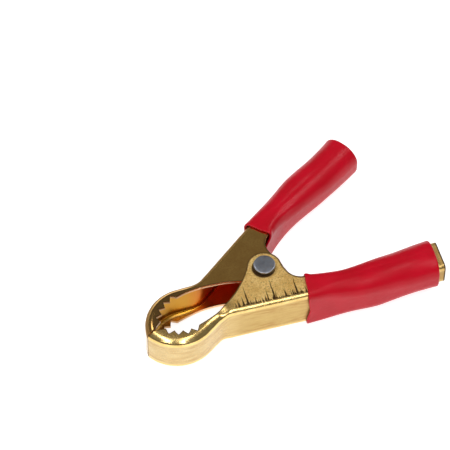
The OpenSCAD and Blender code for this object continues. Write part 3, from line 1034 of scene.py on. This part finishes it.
def brass(name, colour, deep, stain_and_shade, rough, nose_rough, seed, mottle, grain_bump, dragged):
    """Bright plating on pressed sheet: grain, stain, brushing, and painted shade and highlights.

    dragged is for the outer lever, whose matt cheeks are pitted and marked by the die and carry a
    painted shadow round the rivet. The inner lever's are glossy, with painted shade on the bends,
    the edges and the nose, and a painted highlight along the mouth's edge.
    """
    n = Nodes(name)
    along, crease = n.attribute("along"), n.attribute("crease")
    inside, rim = n.attribute("inside"), n.attribute("rim")
    end = along_at(HANDLE_ROOT[0] + HANDLE_LENGTH)

    def by_x(low, high, to_low=0.0, to_high=1.0):
        """Changes along the back between two plan positions."""
        return n.spread(along, along_at(low), along_at(high), to_low, to_high)

    spot = n.position()
    grain = n.noise(spot, 2.2, 6, 0.68)
    cloud = n.noise(spot, 0.30, 4, 0.65)
    lengthwise = n.combine(n.times(along, 0.12), n.times(crease, 0.9), seed)
    brushed = n.noise(lengthwise, 1.6, 4, 0.55)

    on_web = n.spread(crease, -1.6, -2.3)
    on_bend = n.times(n.spread(crease, 0.1, -0.3), n.less(1.0, on_web))
    on_cheek = n.spread(crease, -0.2, 0.4)
    on_shank = by_x(-13.0, -9.0, 0.08, 1.0)

    # Colour: the plating's clouds and grain, brushing, and painted shade on web, end and hollow
    # side.
    base = n.mix(n.spread(cloud, 0.35, 0.7, 0.0, 0.7), colour, deep)
    base = n.mix(n.times(n.spread(grain, 0.46, 0.58, 0.0, mottle), on_cheek), base, deep)
    # The web and the foot of its bend in darker brass: painted shade.
    web_shade = n.mix(by_x(-24.0, -10.0), WEB_NOSE_SHADE, WEB_SHANK_SHADE)
    base = n.mix(n.spread(crease, -1.15, -1.8, 0.0, 0.8), base, web_shade)
    # Painted shade over the handle's bare end.
    base = n.mix(n.spread(along, end - 2.4, end - 1.4, 0.0, 0.35), base, SHADED_BRASS)
    # Brushed stain streaks on the web, darkened towards the bend as painted shade.
    streaks_and_shade = n.times(n.spread(brushed, 0.40, 0.72), on_web, n.spread(crease, -5.5, -2.2, 0.35, 1.0))
    base = n.mix(streaks_and_shade, base, stain_and_shade)
    # The hollow side in painted shade; near the rivet, painted shade with a red painted reflection.
    base = n.mix(inside, base, n.mix(by_x(-21.0, -15.0), HOLLOW_SHADE, CAVE_SHADE))

    # Gloss: the bends are burnished, and most of all the shank's.
    finish = by_x(*NOSE_TO_SHANK, nose_rough, rough)
    rough = n.plus(finish, n.spread(grain, 0.3, 0.7, -0.05, 0.07))
    rough = n.plus(rough, n.times(inside, 0.15))
    burnish = n.times(on_bend, by_x(*NOSE_TO_SHANK, 0.28, 0.45))
    rough = n.times(rough, n.less(1.0, burnish))

    height = n.plus(n.times(grain, 0.6), n.times(brushed, 0.4))
    flat = n.spread(crease, -0.1, 0.5, 0.08, 1.0)
    normal = n.bump(height, 0.00004, n.times(on_shank, flat, grain_bump))

    # Painted shade as a dark line along the sheared edge, wider behind the rivet.
    edge_line = n.plus(n.spread(grain, 0.3, 0.7, 0.34, 0.54), by_x(-4.0, 0.0, 0.0, 0.14))
    shaded_edge = n.spread(rim, edge_line, 0.22)
    if dragged:
        pits = n.spread(n.noise(spot, 3.6, 3, 0.6), 0.59, 0.66)
        # Draw marks and pits, plus painted shade on edges and end and a painted shadow by the
        # rivet.
        mark = n.most(
            draw_marks(n, along, crease),
            n.times(pits, on_cheek, 0.6),
            n.times(shaded_edge, 0.9),
            n.times(n.spread(along, end - 0.5, end - 0.25), 0.9),
            n.times(rivet_shadow(n), 0.95),
        )
        base = n.mix(n.times(mark, 0.95), base, MARK_AND_SHADE)
        rough = n.plus(rough, n.times(mark, 0.3))
        normal = n.bump(n.less(1.0, mark), 0.00008, n.times(on_shank, 0.5), normal)
    else:
        # Painted shade on the inner lever's bends.
        bends = n.times(n.spread(crease, -0.1, -0.5), n.spread(crease, -2.1, -1.5))
        bend_shade = n.times(bends, n.less(1.0, inside))
        base = n.mix(n.times(bend_shade, 0.75), base, SHADED_BRASS)
        rough = n.plus(rough, n.times(bend_shade, 0.45))
        # Painted shade along the sheared edges and over the handle's end.
        base = n.mix(n.times(shaded_edge, 0.6), base, SHADED_BRASS)
        base = n.mix(n.spread(along, end - 2.2, end - 1.6, 0.0, 0.6), base, SHADED_BRASS)
        # A painted highlight along the mouth's edge.
        base = n.mix(n.times(n.spread(rim, 0.12, 0.04), by_x(0.0, -3.0)), base, EDGE_HIGHLIGHT)
        # Painted shade on the nose's cheek.
        nose = n.times(by_x(-17.0, -23.0, 0.0, 0.65), n.spread(crease, 0.0, 0.3))
        base = n.mix(nose, base, SHADED_BRASS)
    return n.finish(base, 1.0, rough, normal)


def steel(name, colour, rough, dark_foot=False):
    """Dull metal. dark_foot is for the rivet: painted shade up the side of its head, and faint
    rust.
    """
    n = Nodes(name)
    spot = n.position()
    grain = n.noise(spot, 3.0, 5, 0.65)
    cloud = n.noise(spot, 0.6, 3, 0.6)
    base = n.mix(n.spread(cloud, 0.35, 0.7), colour, tuple(0.72 * c for c in colour))
    if dark_foot:
        # Painted shade up the side of the head.
        height = n.less(n.split(spot)[2], ORIGIN[2] * 1000)
        top = OUTER_HALF + HEAD_H
        foot = n.times(n.spread(height, top - 0.25, top - 0.5), n.spread(height, 0.0, 1.0))
        base = n.mix(n.times(foot, 0.85), base, HEAD_WALL_SHADE)
        base = n.mix(n.spread(n.noise(spot, 0.9, 3, 0.6), 0.5, 0.7, 0.0, 0.6), base, RUST)
    rough = n.spread(grain, 0.3, 0.7, rough - 0.06, rough + 0.1)
    return n.finish(base, 1.0, rough, n.bump(grain, 0.00003, 0.3))


def pvc(name, colour, deep):
    """Soft moulded plastic with a slightly uneven skin."""
    n = Nodes(name)
    spot = n.position()
    skin = n.noise(spot, 0.9, 3, 0.5)
    fine = n.noise(spot, 6.0, 2, 0.5)
    base = n.mix(n.spread(n.noise(spot, 0.12, 2, 0.5), 0.3, 0.7), colour, deep)
    n.set(n.shader, "Specular_IOR_Level", 0.22)
    height = n.plus(n.times(skin, 0.8), n.times(fine, 0.12))
    return n.finish(base, 0.0, n.spread(skin, 0.3, 0.7, 0.30, 0.40), n.bump(height, 0.0002, 0.30))


def floor_material():
    n = Nodes("floor")
    fine = n.noise(n.position(60), 4.0, 2, 0.5)
    base = n.mix(n.spread(fine, 0.3, 0.7), (0.60, 0.60, 0.60), (0.58, 0.58, 0.58))
    # The table is lit from below as well, which keeps its shadows faint.
    n.set(n.shader, "Emission_Color", (1.0, 1.0, 1.0, 1.0))
    n.set(n.shader, "Emission_Strength", 0.80)
    return n.finish(base, 0.0, 0.6)


# ---- pieces -----------------------------------------------

def finish_piece(obj, body, slot, material, *nodes):
    obj.data.materials.clear()
    obj.data.materials.append(material)
    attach(obj, body)
    if nodes:
        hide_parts(*nodes)


def collar_place(points):
    """Stands points made along +Z on the outer lever's terminal, pointing in from its back."""
    base = handle_point(SCREW_PLACE, 0.0) * [1, -1]
    inward = left_of(HANDLE_ANGLE) * [-1, 1]
    run = heading(HANDLE_ANGLE) * [1, -1]
    p = np.asarray(points, float)
    plan = base + p[:, 2:3] * inward + p[:, 0:1] * run
    return np.column_stack([plan, p[:, 1]])


def add_collar(obj):
    """The drawn-up collar for the terminal screw, with its hole."""
    top, edge = SHEET + COLLAR_H, 0.3
    ring = arc([COLLAR_R - edge, top - edge], edge, 90, 0, 5)
    profile = [(0, SHEET / 2), (COLLAR_R, SHEET / 2), *ring[::-1], (0, top)]
    cut_with(obj, lathe("collar", profile, 64, place=collar_place), "UNION")
    cut_with(obj, plain_cylinder("drill", SCREW_R + 0.02, -1, 5, collar_place))


outer_brass = brass(
    "outer_brass", colour=(0.98, 0.71, 0.28), deep=(0.70, 0.41, 0.11), stain_and_shade=(0.45, 0.24, 0.07),
    rough=0.50, nose_rough=0.25, seed=3.1, mottle=0.8, grain_bump=1.0, dragged=True,
)
inner_brass = brass(
    "inner_brass", colour=(0.84, 0.50, 0.14), deep=(0.66, 0.35, 0.09), stain_and_shade=(0.56, 0.30, 0.08),
    rough=0.16, nose_rough=0.16, seed=7.9, mottle=0.7, grain_bump=0.25, dragged=False,
)
red_pvc = pvc("red_pvc", colour=(0.56, 0.001, 0.015), deep=(0.48, 0.001, 0.010))
rivet_steel = steel("rivet_steel", (0.36, 0.38, 0.43), 0.33, dark_foot=True)
spring_steel = steel("spring_steel", (0.42, 0.42, 0.43), 0.28)
zinc = steel("zinc", (0.66, 0.67, 0.68), 0.25)

outer = lever("outer_lever_sheet", OUTER_HALF, -1)
add_collar(outer)
drill_ears(outer, RIVET_R + 0.02, OUTER_HALF)
finish_piece(outer, "outer_half", "brass", outer_brass, "outer_lever")

inner = lever("inner_lever_sheet", INNER_HALF, 1)
drill_ears(inner, RIVET_R + 0.05, INNER_HALF)
finish_piece(inner, "inner_half", "brass", inner_brass, "inner_lever")

finish_piece(rivet(), "outer_half", "rivet_steel", rivet_steel, "pivot_rivet")
finish_piece(
    grip("outer_grip_sleeve", "outer", OUTER_HALF, -1, OUTER_BARE_END + GRIP_SHORTER, 0.7),
    "outer_half", "grip_pvc", red_pvc, "outer_grip",
)
finish_piece(
    grip("inner_grip_sleeve", "inner", INNER_HALF, 1, INNER_BARE_END + GRIP_SHORTER, 2.9),
    "inner_half", "grip_pvc", red_pvc, "inner_grip",
)

coil = spring()
coil.data.materials.append(spring_steel)
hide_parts("torsion_spring")
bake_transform(coil)

for node in ("terminal_screw", "clamp_washer"):
    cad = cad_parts[node]
    cad.data.materials.clear()
    cad.data.materials.append(zinc)

# ---- floor, light and camera ------------------------------

FLOOR_HALF = 3.0
floor_signs = ((-1, -1), (1, -1), (1, 1), (-1, 1))
floor_corners = [(x * FLOOR_HALF, y * FLOOR_HALF, 0) for x, y in floor_signs]
floor_mesh = bpy.data.meshes.new("floor")
floor_mesh.from_pydata(floor_corners, [], [(0, 1, 2, 3)])
floor_mesh.materials.append(floor_material())
floor = bpy.data.objects.new("floor", floor_mesh)
bpy.context.scene.collection.objects.link(floor)

# The studio's grey from below (0) to overhead (1).
SKY = ((0.0, 0.14), (0.35, 0.15), (0.65, 0.18), (0.92, 0.17), (1.0, 0.12))
world = bpy.data.worlds.new("studio")
bpy.context.scene.world = world
world.use_nodes = True
tree = world.node_tree
background = tree.nodes["Background"]
coordinates = tree.nodes.new("ShaderNodeTexCoord")
split = tree.nodes.new("ShaderNodeSeparateXYZ")
tree.links.new(coordinates.outputs["Generated"], split.inputs[0])
sky = tree.nodes.new("ShaderNodeValToRGB")
tree.links.new(split.outputs[2], sky.inputs[0])
while len(sky.color_ramp.elements) < len(SKY):
    sky.color_ramp.elements.new(0.5)
for element, (place, grey) in zip(sky.color_ramp.elements, SKY):
    element.position = place
    element.color = (grey, grey, grey, 1)
tree.links.new(sky.outputs[0], background.inputs[0])
background.inputs[1].default_value = 1.0


# The camera stands at the photograph's angle and distance, with a long lens. Distances are metres.
YAW, TILT = math.radians(34.5), math.radians(54.92)
CAMERA_LEFT, CAMERA_UP, CAMERA_BACK = 0.010706, 0.018556, 0.6908
right = Vector((math.cos(YAW), -math.sin(YAW), 0))
up = Vector((math.sin(YAW) * math.sin(TILT), math.cos(YAW) * math.sin(TILT), math.cos(TILT)))
ahead = Vector((math.sin(YAW) * math.cos(TILT), math.cos(YAW) * math.cos(TILT), -math.sin(TILT)))
camera_data = bpy.data.cameras.new("camera")
camera_data.sensor_width = 36
camera_data.lens = 200
camera_data.clip_start = 0.01
camera_data.clip_end = 20
camera = bpy.data.objects.new("camera", camera_data)
bpy.context.scene.collection.objects.link(camera)
sight = Vector(to_row([0, 0, -JAW_HALF]))
camera.matrix_world = Matrix.Translation(
    sight - right * CAMERA_LEFT + up * CAMERA_UP - ahead * CAMERA_BACK
) @ Matrix((
    (right.x, up.x, -ahead.x, 0),
    (right.y, up.y, -ahead.y, 0),
    (right.z, up.z, -ahead.z, 0),
    (0, 0, 0, 1),
))
bpy.context.scene.camera = camera
bpy.context.scene.view_settings.view_transform = "Standard"


def softbox(name, left, toward, height, width, length, radiance):
    """A soft light aimed at the clip: metres to the camera's left, towards it and up."""
    to_camera = Vector((-math.sin(YAW), -math.cos(YAW), 0))
    place = to_camera * toward - right * left + Vector((0, 0, height))
    light = bpy.data.lights.new(name, "AREA")
    light.shape = "RECTANGLE"
    light.size, light.size_y = width, length
    light.energy = radiance * math.pi * width * length
    obj = bpy.data.objects.new(name, light)
    bpy.context.scene.collection.objects.link(obj)
    back = place.normalized()
    rise = (to_camera - back * to_camera.dot(back)).normalized()
    side = rise.cross(back)
    obj.matrix_world = Matrix((
        (side.x, rise.x, back.x, place.x),
        (side.y, rise.y, back.y, place.y),
        (side.z, rise.z, back.z, place.z),
        (0, 0, 0, 1),
    ))
    obj.visible_camera = False


softbox("right_strip", -0.24, 0.56, 0.95, width=0.15, length=1.00, radiance=7.6)
softbox("left_strip", 0.44, 0.50, 0.95, width=0.19, length=0.95, radiance=7.6)
softbox("back_right", -0.52, -0.32, 0.85, width=0.36, length=0.42, radiance=5.0)
softbox("back_left", 0.52, -0.32, 0.85, width=0.36, length=0.42, radiance=5.0)
